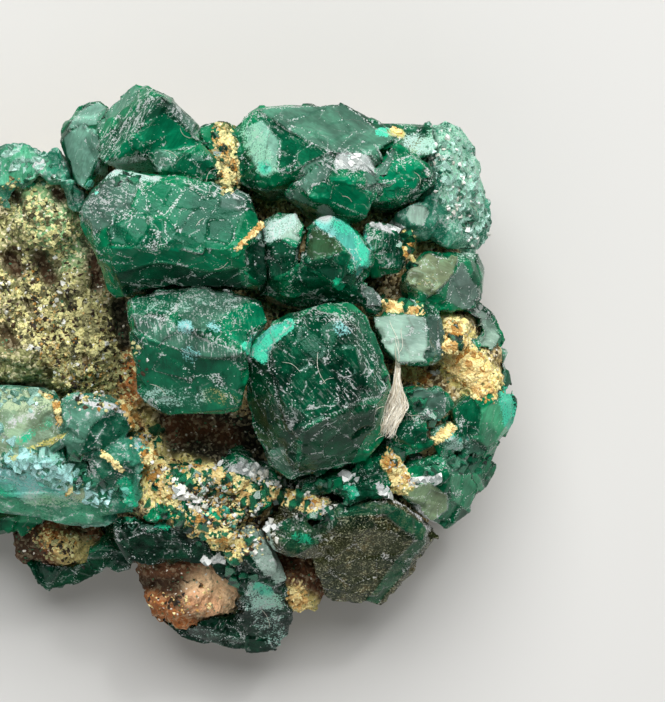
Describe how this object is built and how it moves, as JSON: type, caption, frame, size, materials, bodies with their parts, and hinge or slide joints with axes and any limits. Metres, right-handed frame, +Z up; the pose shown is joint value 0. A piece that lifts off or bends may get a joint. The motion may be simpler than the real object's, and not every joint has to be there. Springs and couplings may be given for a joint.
{
  "type": "dioptase specimen",
  "caption": "Cluster of stout deep-green dioptase crystals on a lump of sandy ochre matrix, lying on its flat broken back.",
  "frame": {"origin": "on the flat broken back, under the middle of the specimen's bounding box", "axes": "+Z up from the flat back through the crystals, +X along the specimen's length towards its rounded right end, +Y towards the edge with the pyramid-shaped crystal"},
  "size_m": [0.0498, 0.0408, 0.0226],
  "materials": {
    "dioptase": "glossy cleaved crystal, scratched and chipped",
    "frosted_dioptase": "frosted, pitted crystal",
    "ochre_matrix": "granular matt rock and sand",
    "lint": "fluffy fibres"
  },
  "bodies": {
    "root": {"matrix": "ochre_matrix", "center_crystal": "dioptase", "center_left_crystal": "dioptase", "long_prism": "dioptase", "middle_crystals": "dioptase", "top_crystals": "dioptase", "upper_right_crystals": "dioptase", "frosted_crystal": "frosted_dioptase", "right_crystals": "dioptase", "right_rim_crystals": "dioptase", "lower_middle_crystals": "dioptase", "lower_right_crystals": "dioptase", "bottom_crystals": "dioptase", "left_slab": "frosted_dioptase", "lower_left_crystals": "dioptase", "upper_left_crystals": "frosted_dioptase", "far_left_crystals": "dioptase", "far_left_rim_crystals": "dioptase", "sand_crystals": "dioptase", "hollow_crystals": "dioptase", "lint_tuft": "lint"}
  },
  "joints": []
}
